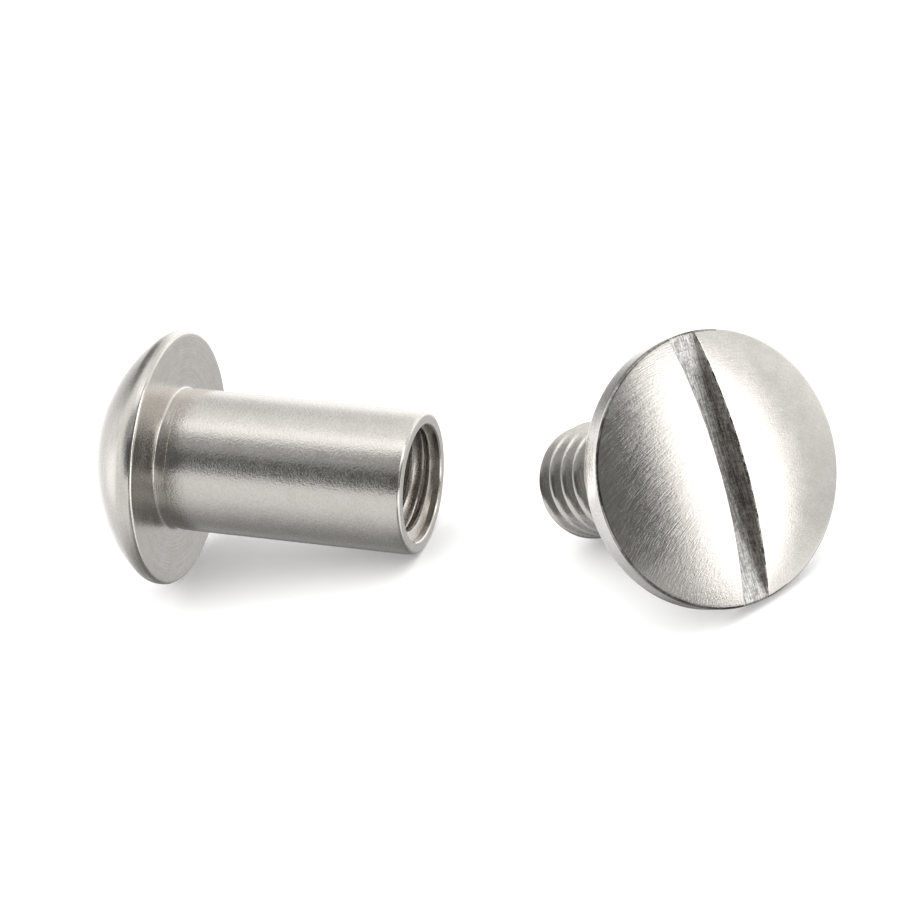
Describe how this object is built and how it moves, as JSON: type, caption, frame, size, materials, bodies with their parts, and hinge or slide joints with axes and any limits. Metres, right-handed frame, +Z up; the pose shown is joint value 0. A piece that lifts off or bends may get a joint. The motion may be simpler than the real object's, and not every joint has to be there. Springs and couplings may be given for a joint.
{
  "type": "binding barrel screw",
  "caption": "Binding barrel and its screw in stainless steel, lying apart: a domed barrel nut with a blind threaded bore, and a domed screw with a straight slot.",
  "frame": {"origin": "on the surface that the pair lies on, under the middle of its box", "axes": "+Z up; +X along the pair, from the barrel nut's head towards the screw's; -Y the side that the slotted head faces"},
  "size_m": [0.0384, 0.0324, 0.014],
  "materials": {
    "barrel_steel": "satin",
    "screw_steel": "brushed"
  },
  "bodies": {
    "root": {"barrel_nut": "barrel_steel", "slotted_screw": "screw_steel"}
  },
  "joints": []
}
